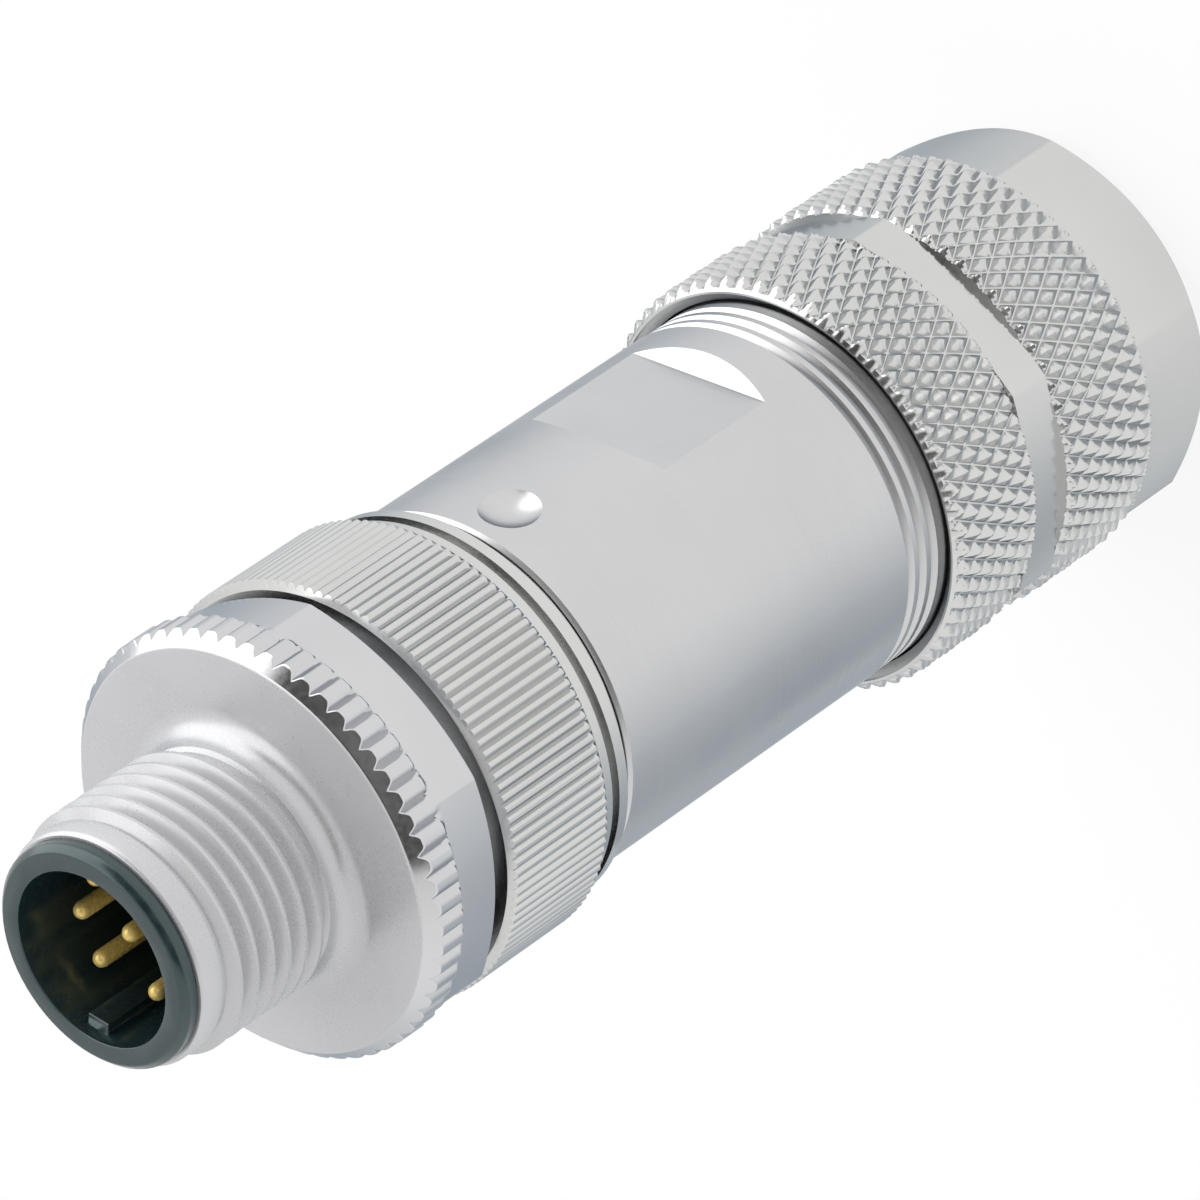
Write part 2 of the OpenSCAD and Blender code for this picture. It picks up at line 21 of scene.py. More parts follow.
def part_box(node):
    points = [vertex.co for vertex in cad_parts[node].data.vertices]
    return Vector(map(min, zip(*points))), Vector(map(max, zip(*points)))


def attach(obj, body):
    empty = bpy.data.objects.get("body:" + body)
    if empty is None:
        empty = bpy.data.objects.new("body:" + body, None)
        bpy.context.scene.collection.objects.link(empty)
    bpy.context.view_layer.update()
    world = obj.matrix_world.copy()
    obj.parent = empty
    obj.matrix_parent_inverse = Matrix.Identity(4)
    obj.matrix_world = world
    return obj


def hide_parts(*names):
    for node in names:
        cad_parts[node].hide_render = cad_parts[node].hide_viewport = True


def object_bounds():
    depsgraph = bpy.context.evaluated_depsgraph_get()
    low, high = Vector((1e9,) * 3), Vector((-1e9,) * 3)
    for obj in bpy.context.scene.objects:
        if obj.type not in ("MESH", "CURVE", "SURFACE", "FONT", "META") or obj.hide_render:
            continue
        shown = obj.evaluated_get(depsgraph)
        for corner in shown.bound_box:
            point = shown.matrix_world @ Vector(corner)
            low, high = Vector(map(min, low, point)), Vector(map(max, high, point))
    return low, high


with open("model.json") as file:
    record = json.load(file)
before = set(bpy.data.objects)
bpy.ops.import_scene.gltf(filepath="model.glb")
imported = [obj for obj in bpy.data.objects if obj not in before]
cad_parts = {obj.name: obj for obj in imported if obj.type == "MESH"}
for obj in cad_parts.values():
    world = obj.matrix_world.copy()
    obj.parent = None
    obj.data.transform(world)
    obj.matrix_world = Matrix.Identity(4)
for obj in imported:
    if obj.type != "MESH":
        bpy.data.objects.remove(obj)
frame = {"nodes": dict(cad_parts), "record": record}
cad_box = [list(corner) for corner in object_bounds()]
nodes = frame["nodes"]
MM = 0.001
plug_len = cad_box[1][2] / MM
print("nodes:", len(nodes), " length of the plug:", round(plug_len, 2), "mm")

# %% [markdown]
# ## Levels along the axis
#
# A turned part is described best by its levels and radii, as on a drawing. The levels come from the boxes
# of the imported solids, so the fine surfaces made below sit exactly where the plain ones were. What a box
# can't tell, such as the width of a groove, is written here once in millimetres and named.

# %% Levels of the pieces
HUB_LEN, FLANGE_OVER_RING = 3.4, 5.45
box_mm = {name: [np.array(corner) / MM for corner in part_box(name)]
          for name in ("thrust_nut", "front_ring", "coupling_screw", "housing_sleeve")}
nut_len = box_mm["thrust_nut"][1][2]
sleeve_front = box_mm["housing_sleeve"][1][2]
spigot_end, hub_end = box_mm["front_ring"][0][2], box_mm["front_ring"][1][2]
ring_face = hub_end - HUB_LEN
flange_face = ring_face + FLANGE_OVER_RING
screw_top = box_mm["coupling_screw"][1][2]
print("nut", round(nut_len, 2), "sleeve to", round(sleeve_front, 2), "ring face", round(ring_face, 2),
      "flange face", round(flange_face, 2), "screw to", round(screw_top, 2))

# %% [markdown]
# ## Camera
#
# The plug stands on its cable end, and the camera looks down at it from the side of the pins. It is rolled,
# so that the axis runs from the lower left to the upper right of the picture. A long lens far away keeps
# the rings nearly parallel, as in a catalogue picture. The three axes of the camera are given as vectors
# and made square to each other, which is the surest way to set a rolled camera.

# %% Camera
VIEW_TURN = math.radians(-137.5)
CAMERA_REACH = 336.54 * MM
CAMERA_HEIGHT, FITTED_LEN = 304.35, 64.4
CAMERA_ABOVE_TIP = (CAMERA_HEIGHT - FITTED_LEN) * MM
CAMERA_RIGHT = (0.5202, -0.5631, -0.6421)
CAMERA_BACK = (0.7765, -0.0011, 0.6301)
LENS_MM, SENSOR_MM, NEAREST, FARTHEST = 300, 36, 0.01, 10


def turned(v):
    """The vector v turned about Z by the direction from which the camera looks."""
    return Matrix.Rotation(VIEW_TURN, 3, "Z") @ Vector(v)


back = turned(CAMERA_BACK).normalized()
up = back.cross(turned(CAMERA_RIGHT)).normalized()
right = up.cross(back).normalized()
camera_data = bpy.data.cameras.new("camera")
camera_data.lens = LENS_MM
camera_data.sensor_width = SENSOR_MM
camera_data.clip_start, camera_data.clip_end = NEAREST, FARTHEST
camera = bpy.data.objects.new("camera", camera_data)
turn = Matrix((right, up, back)).transposed()
place = turned((CAMERA_REACH, 0, 0)) + Vector((0, 0, CAMERA_ABOVE_TIP + plug_len * MM))
camera.matrix_world = Matrix.Translation(place) @ turn.to_4x4()
bpy.context.scene.collection.objects.link(camera)
bpy.context.scene.camera = camera
bpy.context.scene.view_settings.view_transform = "Standard"
print("camera", [round(c, 4) for c in camera.location])

# %% [markdown]
# ## Helpers for node trees
#
# Every material and the room are trees of small nodes. These helpers make a node with its inputs already
# set or joined, a step of arithmetic, and a soft step from one value to another. They keep the cells below
# short, and each tree then reads almost like a formula.

# %% Node helpers


def add_node(tree, kind, **inputs):
    """A shader node of the given kind. An input named i0, i1 and so on is found by number, any other by
    name. It is set to a value or joined to a socket."""
    node = tree.nodes.new(kind)
    for name, value in inputs.items():
        numbered = name[0] == "i" and name[1:].isdigit()
        socket = node.inputs[int(name[1:])] if numbered else node.inputs[name.replace("_", " ")]
        if isinstance(value, bpy.types.NodeSocket):
            tree.links.new(value, socket)
        else:
            socket.default_value = value
    return node


def reckon(tree, kind, a, b=0.0):
    """One step of arithmetic on two sockets or numbers."""
    node = add_node(tree, "ShaderNodeMath", i0=a, i1=b)
    node.operation = kind
    return node.outputs[0]


def ramp(tree, value, low, high, to_low=0.0, to_high=1.0):
    """A smooth step from to_low, where value is low, to to_high, where value is high."""
    node = add_node(tree, "ShaderNodeMapRange", Value=value, From_Min=low, From_Max=high, To_Min=to_low,
                    To_Max=to_high)
    node.interpolation_type = "SMOOTHSTEP"
    return node.outputs[0]


def new_material(name):
    """An empty node material, its tree and its Principled shader."""
    material = bpy.data.materials.new(name)
    material.use_nodes = True
    tree = material.node_tree
    tree.nodes.clear()
    shader = tree.nodes.new("ShaderNodeBsdfPrincipled")
    output = tree.nodes.new("ShaderNodeOutputMaterial")
    tree.links.new(shader.outputs[0], output.inputs[0])
    return material, tree, shader


# %% [markdown]
# ## The room
#
# Polished and satin metal shows mostly what stands around it, so the room matters as much as the lamps. It
# is a white studio, a little dimmer overhead and a little brighter on the left and in front. One dark card
# stands above the camera: bevels that lean 45 degrees mirror it, which draws the dark line round the flange.
# The card is a rectangle in a plane across the view, so its straight edges are told by two ratios of the
# direction, sideways over forwards and upwards over forwards.

# %% Room
deg = math.radians
WALL, CEILING, LEFT_WALL, FRONT_WALL, DARK_CARD = 0.9, 0.78, 1.0, 1.0, 0.05
CARD_SIDES, CARD_HEIGHTS, CARD_SOFT = (-1.55, 2.6), (0.96, 2.6), 0.08
AHEAD = (0.02, 0.06)
LEFT_TURNS, LEFT_SOFT, LEFT_TOP = (deg(66), deg(142)), deg(12), (deg(40), deg(60))
FRONT_TURNS, FRONT_TURN_SOFT = (deg(-125), deg(70)), deg(20)
FRONT_HEIGHTS, FRONT_HEIGHT_SOFT = (deg(-2), deg(34)), deg(8)
CEILING_EDGE = (deg(58), deg(72))
world = bpy.data.worlds.new("studio")
bpy.context.scene.world = world
world.use_nodes = True
wt = world.node_tree
wt.nodes.clear()
facing = add_node(wt, "ShaderNodeMapping", Vector=wt.nodes.new("ShaderNodeTexCoord").outputs["Generated"],
                  Rotation=(0, 0, -VIEW_TURN))
x, y, z = add_node(wt, "ShaderNodeSeparateXYZ", Vector=facing.outputs[0]).outputs
forwards = reckon(wt, "MAXIMUM", x, AHEAD[0])
azimuth = reckon(wt, "ARCTAN2", y, x)
elevation = reckon(wt, "ARCSINE", z)


def between(tree, value, low, high, soft):
    """One between low and high and nothing outside, with edges that are soft wide."""
    rise = ramp(tree, value, low - soft / 2, low + soft / 2)
    return reckon(tree, "MULTIPLY", rise, ramp(tree, value, high - soft / 2, high + soft / 2, 1, 0))


card = ramp(wt, x, *AHEAD)
for value, edges, soft in ((reckon(wt, "DIVIDE", y, forwards), CARD_SIDES, 4 * CARD_SOFT),
                           (reckon(wt, "DIVIDE", z, forwards), CARD_HEIGHTS, CARD_SOFT)):
    card = reckon(wt, "MULTIPLY", card, between(wt, value, *edges, soft))
left = reckon(wt, "MULTIPLY", between(wt, azimuth, *LEFT_TURNS, LEFT_SOFT),
              ramp(wt, elevation, *LEFT_TOP, 1, 0))
front = reckon(wt, "MULTIPLY", between(wt, azimuth, *FRONT_TURNS, FRONT_TURN_SOFT),
               between(wt, elevation, *FRONT_HEIGHTS, FRONT_HEIGHT_SOFT))
level = ramp(wt, elevation, *CEILING_EDGE, WALL, CEILING)
level = reckon(wt, "ADD", level, ramp(wt, left, 0, 1, 0, LEFT_WALL - WALL))
level = reckon(wt, "ADD", level, ramp(wt, front, 0, 1, 0, FRONT_WALL - WALL))
level = reckon(wt, "MULTIPLY", level, ramp(wt, card, 0, 1, 1, DARK_CARD / WALL))
room = add_node(wt, "ShaderNodeBackground", Color=(1, 1, 1, 1), Strength=level)
wt.links.new(room.outputs[0], wt.nodes.new("ShaderNodeOutputWorld").inputs[0])
print("room made of", len(wt.nodes), "nodes")

# %% [markdown]
# ## The floor
#
# A pale floor, wide enough to fill every mirror image. Part of its light is its own, but only for rays from
# the camera and for rays that come by way of gloss or glass, so that it looks white and still keeps a soft
# shadow. Right beside the plug lies a patch of painted shade, a soft cooler grey, which fades out a hand's
# width away. It is the one thing on the floor that isn't plain, and no lamp casts it: upright metal mirrors
# the floor near its foot, and this painted shade gives the plug a darker, shaded side.

# %% Floor
FLOOR_REACH = 2.5
# The second tone is painted shade: the cool grey of the patch beside the plug, which the metal mirrors as its
# shaded side.
FLOOR_TONE, PAINTED_SHADE_TONE = (0.97, 0.97, 0.97, 1), (0.52, 0.56, 0.6, 1)
FLOOR_ROUGHNESS = 0.9
SHADE_TURNS, SHADE_SOFT = (deg(60), deg(162.5)), (deg(35), deg(12.5))
CLEAR_OF_PLUG, SHADE_BEGINS, SHADE_FADES = 12 * MM, (1 * MM, 14 * MM), (65 * MM, 125 * MM)
SEEN_GLOW, SEEN_SHARE = 1.05, 0.8
corners = [(-1, -1, 0), (1, -1, 0), (1, 1, 0), (-1, 1, 0)]
floor_mesh = bpy.data.meshes.new("floor")
floor_mesh.from_pydata([[FLOOR_REACH * c for c in corner] for corner in corners], [], [(0, 1, 2, 3)])
floor = bpy.data.objects.new("floor", floor_mesh)
bpy.context.scene.collection.objects.link(floor)
floor_material, ft, fs = new_material("pale floor")
place = add_node(ft, "ShaderNodeMapping", Vector=ft.nodes.new("ShaderNodeTexCoord").outputs["Object"],
                 Rotation=(0, 0, -VIEW_TURN))
fx, fy, _ = add_node(ft, "ShaderNodeSeparateXYZ", Vector=place.outputs[0]).outputs
# The patch of painted shade: a range of turns beside the plug, clear of its foot, fading out with distance.
side = reckon(ft, "ARCTAN2", reckon(ft, "MULTIPLY", fy, -1.0), fx)
shade = reckon(ft, "MULTIPLY", ramp(ft, side, SHADE_TURNS[0] - SHADE_SOFT[0], SHADE_TURNS[0] + SHADE_SOFT[0]),
               ramp(ft, side, SHADE_TURNS[1] - SHADE_SOFT[1], SHADE_TURNS[1] + SHADE_SOFT[1], 1, 0))
outside = reckon(ft, "SUBTRACT", reckon(ft, "SUBTRACT", fx, fy), CLEAR_OF_PLUG)
shade = reckon(ft, "MULTIPLY", shade, ramp(ft, outside, *SHADE_BEGINS))
reach = add_node(ft, "ShaderNodeVectorMath", i0=place.outputs[0])
reach.operation = "LENGTH"
shade = reckon(ft, "MULTIPLY", shade, ramp(ft, reach.outputs[1], *SHADE_FADES, 1, 0))
tone = add_node(ft, "ShaderNodeMix", i0=shade)
tone.data_type = "RGBA"
tone.inputs[6].default_value, tone.inputs[7].default_value = FLOOR_TONE, PAINTED_SHADE_TONE
ft.links.new(tone.outputs[2], fs.inputs["Base Color"])
fs.inputs["Roughness"].default_value = FLOOR_ROUGHNESS
rays = ft.nodes.new("ShaderNodeLightPath").outputs
seen = reckon(ft, "MAXIMUM", rays["Is Camera Ray"], rays["Is Glossy Ray"])
seen = reckon(ft, "MAXIMUM", seen, rays["Is Transmission Ray"])
glow = add_node(ft, "ShaderNodeEmission", Color=tone.outputs[2], Strength=SEEN_GLOW)
blend = add_node(ft, "ShaderNodeMixShader", i0=reckon(ft, "MULTIPLY", seen, SEEN_SHARE), i1=fs.outputs[0],
                 i2=glow.outputs[0])
ft.links.new(blend.outputs[0], next(n for n in ft.nodes if n.type == "OUTPUT_MATERIAL").inputs[0])
floor_mesh.materials.append(floor_material)
print("floor", 2 * FLOOR_REACH, "m wide")

# %% [markdown]
# ## Lamps
#
# Two soft lamps stand on the left. The near low one gives the knurling and the edges their white glints, and
# the high one throws the soft shadow to the right. Both are weak, because the room already lights the plug. A
# lamp's place is told by its direction from the middle of the plug, because that is how a photographer walks
# a lamp round an object.

# %% Lamps


def soft_lamp(name, azimuth, elevation, distance, width, height, watts):
    """A flat lamp that looks at the middle of the plug. Its azimuth is counted from the camera's side,
    leftwards."""
    data = bpy.data.lights.new(name, "AREA")
    data.shape, data.size, data.size_y, data.energy = "RECTANGLE", width, height, watts
    lamp = bpy.data.objects.new(name, data)
    a, e = VIEW_TURN + math.radians(azimuth), math.radians(elevation)
    direction = Vector((math.cos(a) * math.cos(e), math.sin(a) * math.cos(e), math.sin(e)))
    lamp.location = Vector((0, 0, plug_len / 2 * MM)) + direction * distance
    lamp.rotation_mode = "QUATERNION"
    lamp.rotation_quaternion = direction.to_track_quat("Z", "Y")
    bpy.context.scene.collection.objects.link(lamp)
    print(name, "at", [round(c, 3) for c in lamp.location])


soft_lamp("left softbox", azimuth=98, elevation=18, distance=0.36, width=0.54, height=0.28, watts=0.54)
soft_lamp("key lamp", azimuth=100, elevation=55, distance=0.9, width=0.6, height=0.6, watts=1.1)

# %% [markdown]
# ## Surfaces on a ring grid
#
# Every turned or knurled piece here is a surface of revolution whose radius also changes round the axis. So
# it is made on a grid: the rows follow the profile, the columns go round, and each point has its own height
# and radius. The whole grid is worked out with arrays, which takes milliseconds even for a fine knurl. A
# quad of a knurl isn't flat, so each one is split along the diagonal that keeps ridges and valleys sharp.

# %% Ring surfaces


def add_piece(name, points, faces, body, stands_for=(), crease=28):
    """A piece from points in metres and triangles. Edges that bend more than crease degrees stay sharp."""
    mesh = bpy.data.meshes.new(name)
    mesh.from_pydata(points, [], faces)
    mesh.validate()
    mesh.shade_smooth()
    mesh.set_sharp_from_angle(angle=math.radians(crease))
    piece = bpy.data.objects.new(name, mesh)
    bpy.context.scene.collection.objects.link(piece)
    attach(piece, body)
    if stands_for:
        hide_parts(*stands_for)
    print(name, len(points), "points", len(faces), "triangles")
    return piece


def ring_skin(name, rows, columns, body, stands_for=(), crease=28):
    """A closed surface of rings on the plug's axis. Each row is a height and a radius in mm, one number for
    all columns or one per column, and the rows follow the profile round. Column j lies at the angle
    360 j / columns. A cell is split along the diagonal whose two ends differ least in radius."""
    angle = np.arange(columns) * 2 * np.pi / columns
    z = np.stack([np.broadcast_to(np.asarray(r[0], float), columns) for r in rows])
    r = np.stack([np.broadcast_to(np.asarray(r[1], float), columns) for r in rows])
    points = np.stack([r * np.cos(angle), r * np.sin(angle), z], -1).reshape(-1, 3) * MM
    i, j = np.arange(len(rows))[:, None], np.arange(columns)[None]

    def here(di, dj):
        return ((i + di) % len(rows)) * columns + (j + dj) % columns

    a, b, c, d = here(0, 0), here(0, 1), here(1, 1), here(1, 0)
    radius = r.reshape(-1)
    other = (np.abs(radius[a] - radius[c]) > np.abs(radius[b] - radius[d]))[..., None]
    first = np.where(other, np.stack([a, b, d], -1), np.stack([a, b, c], -1))
    second = np.where(other, np.stack([b, c, d], -1), np.stack([a, c, d], -1))
    faces = np.concatenate([first.reshape(-1, 3), second.reshape(-1, 3)])
    return add_piece(name, points, faces, body, stands_for, crease)


def crowned(corner_r, drop, turn, columns):
    """The radius of a hexagon with crowned faces, one per column: each face is an arc through two corners
    whose middle lies drop below the corner radius."""
    face_r = corner_r - drop
    reach, half = corner_r * math.cos(math.pi / 6), corner_r / 2
    shift = (face_r ** 2 - reach ** 2 - half ** 2) / (2 * (reach - face_r))
    arc_r = face_r + shift
    off = np.radians((np.arange(columns) * 360 / columns - turn) % 60 - 30)
    return -shift * np.cos(off) + np.sqrt(arc_r ** 2 - (shift * np.sin(off)) ** 2)


# %% [markdown]
# ## Thrust nut
#
# The nut at the cable end clamps the cord when it is screwed on. Two bands of its outside are knurled for
# fingers: a tool with crossed teeth has rolled rows of small pyramids into the metal. The radius of such a
# band is the lower of two families of V grooves, one that climbs to the left and one to the right. Between
# the bands, and at the end, the nut has slightly crowned hexagon faces for a spanner.

# %% Diamond knurl
NUT_COLUMNS = 768
NUT_R = 10.1
KNURL_STARTS, KNURL_DEPTH, KNURL_LEAD, KNURL_TIP = 64, 0.42, 1.69, 0.82
ROWS_PER_DIAMOND = 12
nut_turns = np.arange(NUT_COLUMNS) / NUT_COLUMNS


def knurl_r(z):
    """The radius of the knurl at height z, per column: with t the turns times the number of starts and h
    the height over the lead, each groove family has the height |2 frac(t + h) - 1| or |2 frac(t - h) - 1|.
    The lower one counts, and tips above KNURL_TIP are cut flat."""
    starts, rise = KNURL_STARTS * nut_turns, z / KNURL_LEAD
    climbs = 1 - 2 * np.abs((starts + rise + 0.5) % 1 - 0.5)
    falls = 1 - 2 * np.abs((starts - rise + 0.5) % 1 - 0.5)
    return NUT_R - KNURL_DEPTH + KNURL_DEPTH * np.minimum(np.minimum(climbs, falls) / KNURL_TIP, 1)


def knurl_rows(low, high, low_bevel, high_bevel):
    """Rows of a knurled band, with its crests bevelled at 45 degrees at its two ends."""
    count = int((high - low) * ROWS_PER_DIAMOND / KNURL_LEAD)
    levels = np.linspace(low, high, count + 1)
    limits = NUT_R - np.maximum(0, np.maximum(low_bevel - (levels - low), high_bevel - (high - levels)))
    return [(z, np.minimum(knurl_r(z), limit)) for z, limit in zip(levels, limits)]


print("knurl of", KNURL_STARTS, "starts,", round(2 * math.pi * NUT_R / KNURL_STARTS, 2), "mm wide each")

# %% Thrust nut
CABLE_R, END_FACE_R, END_CHAMFER = 4.25, 8.75, 0.4
END_LEN, REAR_BAND, GROOVE_LEN = 5.1, 6.1, 2.25
BAND_BEVEL, FRONT_BEVEL, BAND_FLOOR_R = 0.3, 0.5, 9.7
NUT_BORE_R, SEAT_R, WASHER_Z, SEAT_DEPTH = 9.05, 7.6, 3, 0.35
MOUTH_W, MOUTH_LEN = 0.45, 0.4
groove_z = END_LEN + REAR_BAND
band_z = groove_z + GROOVE_LEN
hex_end = crowned(corner_r=9.75, drop=0.7, turn=21, columns=NUT_COLUMNS)
hex_groove = crowned(corner_r=10.05, drop=0.6, turn=29, columns=NUT_COLUMNS)
end_rise = hex_end - END_FACE_R
rows = [
    (END_CHAMFER, CABLE_R), (0, CABLE_R + END_CHAMFER), (0, END_FACE_R),
    (end_rise / 2, END_FACE_R + end_rise / 2), (end_rise, hex_end), (END_LEN, hex_end),
    (END_LEN, BAND_FLOOR_R),
]
rows += knurl_rows(END_LEN, groove_z, BAND_BEVEL, BAND_BEVEL)
rows += [(groove_z, np.minimum(BAND_FLOOR_R, hex_groove)), (groove_z, hex_groove), (band_z, hex_groove),
         (band_z, BAND_FLOOR_R)]
rows += knurl_rows(band_z, nut_len, BAND_BEVEL, FRONT_BEVEL)
rows += [
    (nut_len, NUT_BORE_R + MOUTH_W), (nut_len - MOUTH_LEN, NUT_BORE_R), (band_z + SEAT_DEPTH, NUT_BORE_R),
    (band_z + SEAT_DEPTH, SEAT_R), (WASHER_Z, SEAT_R), (WASHER_Z, CABLE_R),
]
ring_skin("thrust_nut_knurled", rows, NUT_COLUMNS, "nut", ["thrust_nut"])

# %% [markdown]
# ## Coupling screw
#
# The coupling screw turns freely and pulls the plug into its socket. It is a casting: a hexagon with crowned
# faces at its foot, a flange with coarse rounded teeth for fingers, a turned bevel that cuts the teeth off in
# a zigzag, a smooth face with a wide fillet, and a neck for the thread. One list of rows holds all of it.
# The teeth grow out of the hexagon, so their rows take the larger of the two radii at first.

# %% Coupling screw
SCREW_COLUMNS, TEETH, HEX_TURN = 720, 60, 27
FLANGE_R, TOOTH_DEPTH, TOOTH_FLAT, TOOTH_FLANK = 10.13, 0.28, 0.04, 0.7
TOOTH_START_R, TOOTH_MIDDLE_R, TOOTH_RISES = 9.66, 9.95, (0.12, 0.3, 0.42)
BEVEL_W, BEVEL_LEN = 0.62, 0.67
CREST_DROPS, CREST_INSETS, FACE_OUTSETS, FACE_INSETS = (0.08, 0.03), (0.04, 0.06), (0.09, 0.06), (0.04, 0.08)
FACE_EDGE_OUT, FACE_EDGE_AT, FACE_EDGE_LIFT = 0.02, 0.03, 0.006
RUNNING_GAP, TOOTH_LEN, HEX_GAP, HEX_FOOT_R, HEX_SLOPE = 0.1, 2.27, 0.7, 9.4, 0.35
FILLET, FILLET_ROWS, FILLET_LEADS = 1.2, 13, (0.1, 0.05)
NECK_R, THREAD_ROOT_R, ROOT_START, ROOT_END = 5.55, 5.36, 1.35, 1.25
LEAD_IN_R, LEAD_IN_LEN, TIP_LEVELS, TIP_DROPS = 5.5, 1.15, (0.22, 0.06), (0.08, 0.16)
HUB_BORE_R, HUB_BORE_LEN, SCREW_BORE_R, FOOT_R = 6.45, 3.7, 4.9, 8.2
tooth_phase = ((np.arange(SCREW_COLUMNS) * 360 / SCREW_COLUMNS - HEX_TURN) * TEETH / 360) % 1
crest = np.clip((np.abs(2 * tooth_phase - 1) - TOOTH_FLAT) / TOOTH_FLANK, 0, 1)
tooth_r = FLANGE_R - TOOTH_DEPTH + TOOTH_DEPTH * np.sin(crest * math.pi / 2)
hex_r = crowned(corner_r=10.1, drop=0.6, turn=HEX_TURN, columns=SCREW_COLUMNS)
tooth_low, hex_low = flange_face - TOOTH_LEN, ring_face + HEX_GAP
face_r = FLANGE_R - BEVEL_W


def on_bevel(r):
    """Height of the flange's front bevel at radius r: a straight line from the face down to the crests."""
    return flange_face - (r - face_r) * BEVEL_LEN / BEVEL_W


foot = [
    (ring_face + RUNNING_GAP, HUB_BORE_R), (ring_face + RUNNING_GAP, FOOT_R), (hex_low, FOOT_R),
    (hex_low, HEX_FOOT_R), (hex_low + (hex_r - HEX_FOOT_R) * HEX_SLOPE, hex_r), (tooth_low, hex_r),
]
first_rise, second_rise, last_rise = TOOTH_RISES
teeth = [
    (tooth_low, np.maximum(hex_r, TOOTH_START_R)),
    (tooth_low + first_rise, np.maximum(hex_r, np.minimum(tooth_r, TOOTH_MIDDLE_R))),
    (tooth_low + second_rise, np.maximum(np.minimum(hex_r, TOOTH_MIDDLE_R), tooth_r)),
    (tooth_low + last_rise, tooth_r),
]
bevel = [(on_bevel(tooth_r) - drop, tooth_r) for drop in CREST_DROPS]
bevel += [(on_bevel(tooth_r - inset), tooth_r - inset) for inset in CREST_INSETS]
bevel += [(on_bevel(face_r + outset), face_r + outset) for outset in FACE_OUTSETS]
bevel += [(on_bevel(face_r + FACE_EDGE_AT) + FACE_EDGE_LIFT, face_r + FACE_EDGE_OUT)]
bevel += [(flange_face, face_r - inset) for inset in FACE_INSETS]
sweep = np.linspace(0, math.pi / 2, FILLET_ROWS)
fillet = [(flange_face, NECK_R + FILLET + lead) for lead in FILLET_LEADS]
fillet += list(zip(flange_face + FILLET * (1 - np.cos(sweep)), NECK_R + FILLET * (1 - np.sin(sweep))))
neck = [
    (flange_face + ROOT_START, THREAD_ROOT_R), (screw_top - ROOT_END, THREAD_ROOT_R),
    (screw_top - LEAD_IN_LEN, LEAD_IN_R), (screw_top - TIP_LEVELS[0], LEAD_IN_R),
    (screw_top - TIP_LEVELS[1], LEAD_IN_R - TIP_DROPS[0]), (screw_top, LEAD_IN_R - TIP_DROPS[1]),
    (screw_top, SCREW_BORE_R), (ring_face + HUB_BORE_LEN, SCREW_BORE_R),
    (ring_face + HUB_BORE_LEN, HUB_BORE_R),
]
screw_rows = foot + teeth + bevel + fillet + neck
ring_skin("coupling_screw_body", screw_rows, SCREW_COLUMNS, "coupling", ["coupling_screw"])

# %% [markdown]
# ## Thread of the coupling screw
#
# The thread is a single ridge that winds round the neck, one millimetre for each turn. A trapezium is
# carried along a helix, which is the plainest way to a thread whose runs at both ends really fade away. Its
# feet stand a little below the root cylinder, so no gap shows between the two.

# %% Thread ridge
THREAD_PITCH, THREAD_CREST_R = 1.0, 5.9
RIDGE_FOOT, RIDGE_TOP, RIDGE_SUNK = 0.84, 0.16, -0.12
RIDGE_START, RIDGE_END = 1.6, 1.05
STEPS_PER_TURN, FADE_IN, FADE_OUT, FADED_W = 96, 0.25, 0.5, 0.35


def thread_ridge(low, high):
    """Points and triangles of the ridge. At t turns its middle lies at the height low + pitch t. Its section
    has four points, two sunk feet and two tops, and both its height and its width fade near the ends."""
    total = (high - low) / THREAD_PITCH
    turns = np.linspace(0, total, int(total * STEPS_PER_TURN) + 1)
    fade = np.clip(np.minimum(turns / FADE_IN, (total - turns) / FADE_OUT), 0, 1)[:, None]
    across = np.array([-RIDGE_FOOT, -RIDGE_TOP, RIDGE_TOP, RIDGE_FOOT])[None] / 2
    lift = np.array([RIDGE_SUNK, 1, 1, RIDGE_SUNK])[None]
    r = THREAD_ROOT_R + (THREAD_CREST_R - THREAD_ROOT_R) * lift * np.where(lift > 0, fade, 1)
    z = low + THREAD_PITCH * turns[:, None] + across * (FADED_W + (1 - FADED_W) * fade)
    a = turns[:, None] * 2 * np.pi
    points = np.stack([r * np.cos(a), r * np.sin(a), z], -1).reshape(-1, 3) * MM
    i, j = np.arange(len(turns) - 1)[:, None], np.arange(4)[None]
    p, q, s, t = i * 4 + j, (i + 1) * 4 + j, (i + 1) * 4 + (j + 1) % 4, i * 4 + (j + 1) % 4
    cap = np.array([[0, 1, 2], [0, 2, 3]])
    sides = [np.stack([p, q, s], -1).reshape(-1, 3), np.stack([p, s, t], -1).reshape(-1, 3)]
    return points, np.concatenate(sides + [cap, (cap + (len(turns) - 1) * 4)[:, ::-1]])


points, faces = thread_ridge(flange_face + RIDGE_START, screw_top - RIDGE_END)
add_piece("coupling_thread", points, faces, "coupling", crease=20)

# %% [markdown]
# ## Front ring
#
# Behind the screw sits a ring with fine straight flutes, and behind the flutes a neck with two ribs. Its
# front edge is bevelled, and where the bevel cuts the flutes it leaves a fine zigzag. The flutes have flat
# crests and V valleys, which eight columns for each flute are enough to draw.

